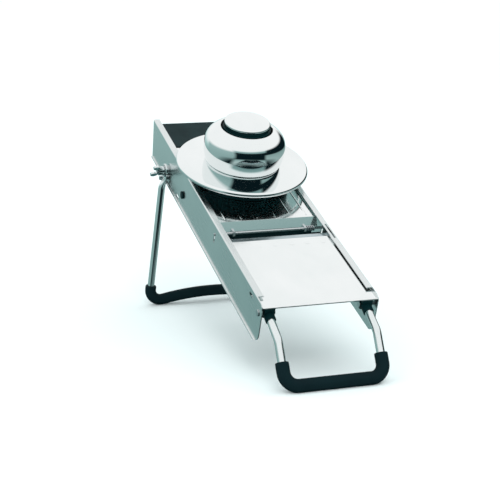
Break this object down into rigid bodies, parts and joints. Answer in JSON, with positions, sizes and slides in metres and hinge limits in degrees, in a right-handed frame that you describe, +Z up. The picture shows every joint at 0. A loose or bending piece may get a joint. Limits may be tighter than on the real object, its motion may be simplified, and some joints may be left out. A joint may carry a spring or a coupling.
{
  "type": "mandoline slicer",
  "caption": "Free-standing steel mandoline with a sloping deck, a straight blade, a tilting feed plate, folding wire legs and a sliding domed food holder with a plunger.",
  "frame": {"origin": "on the floor under the middle of the object's box, with both legs down", "axes": "+Z up, +Y towards the high end of the deck, +X to the right seen from the low end"},
  "size_m": [0.169, 0.4282, 0.2405],
  "materials": {
    "rail_steel": "satin",
    "plate_steel": "polished",
    "blade_steel": "ground",
    "fitting_steel": "satin",
    "spring_steel": "drawn wire",
    "black_plastic": "satin",
    "black_rubber": "matte",
    "leg_chrome": "mirror",
    "holder_chrome": "mirror"
  },
  "bodies": {
    "frame": {"left_side_rail": "rail_steel", "right_side_rail": "rail_steel", "landing_plate": "plate_steel", "slicing_blade": "blade_steel", "blade_bar": "fitting_steel", "blade_rivets": "plate_steel", "rail_rivets": "rail_steel", "cross_beam": "black_plastic", "end_grip": "black_plastic", "grip_screws": "rail_steel", "plate_hinge_pin": "rail_steel", "rear_pivot_bolts": "fitting_steel", "rear_leg_washers": "fitting_steel", "rear_leg_stops": "fitting_steel", "front_leg_pins": "fitting_steel"},
    "feed_plate": {"feed_plate": "plate_steel", "plate_knuckles": "fitting_steel", "rod_brackets": "fitting_steel", "guide_rod": "fitting_steel", "guide_spring": "spring_steel"},
    "adjuster": {"cam_shaft": "fitting_steel", "shaft_caps": "black_plastic", "lift_cams": "black_plastic", "adjuster_lever": "fitting_steel", "lever_grip": "black_plastic"},
    "rear_leg": {"rear_leg_rod": "leg_chrome", "rear_foot_sleeve": "black_rubber"},
    "left_wing_nut": {"left_wing_nut": "leg_chrome"},
    "right_wing_nut": {"right_wing_nut": "leg_chrome"},
    "front_leg": {"front_leg_rod": "leg_chrome", "front_leg_knuckles": "black_plastic", "front_foot_sleeve": "black_rubber"},
    "food_holder": {"holder_disc": "holder_chrome", "holder_dome": "holder_chrome", "holder_base": "black_plastic", "guide_ring": "black_plastic", "holder_screws": "fitting_steel"},
    "plunger": {"plunger_cap": "holder_chrome", "plunger_sleeve": "black_plastic", "spike_plate": "fitting_steel", "food_spikes": "fitting_steel"}
  },
  "joints": [
    {"name": "feed_plate_tilt", "type": "hinge", "parent": "frame", "child": "feed_plate", "pos_m": [0, 0.1402, 0.18567], "axis": [1, 0, 0], "range_deg": [0, 2.6]},
    {"name": "adjuster_turn", "type": "hinge", "parent": "frame", "child": "adjuster", "pos_m": [0, 0.08986, 0.14634], "axis": [1, 0, 0], "range_deg": [-60, 0]},
    {"name": "rear_leg_fold", "type": "hinge", "parent": "frame", "child": "rear_leg", "pos_m": [0, 0.14856, 0.16638], "axis": [1, 0, 0], "range_deg": [-70, 0]},
    {"name": "left_wing_nut_turn", "type": "hinge", "parent": "frame", "child": "left_wing_nut", "pos_m": [-0.07, 0.14856, 0.16638], "axis": [-1, 0, 0], "range_deg": [0, 360]},
    {"name": "right_wing_nut_turn", "type": "hinge", "parent": "frame", "child": "right_wing_nut", "pos_m": [0.07, 0.14856, 0.16638], "axis": [1, 0, 0], "range_deg": [0, 360]},
    {"name": "front_leg_fold", "type": "hinge", "parent": "frame", "child": "front_leg", "pos_m": [0, -0.15751, 0.06826], "axis": [1, 0, 0], "range_deg": [0, 142]},
    {"name": "holder_slide", "type": "slide", "parent": "frame", "child": "food_holder", "axis": [0, 0.9354, 0.3535], "range_m": [-0.175, 0.06]},
    {"name": "plunger_slide", "type": "slide", "parent": "food_holder", "child": "plunger", "axis": [0, -0.3535, 0.9354], "range_m": [-0.0028, 0.018]}
  ],
  "couplings": [
    {"joint": "adjuster_turn", "follows": "feed_plate_tilt", "ratio": -23.077}
  ]
}
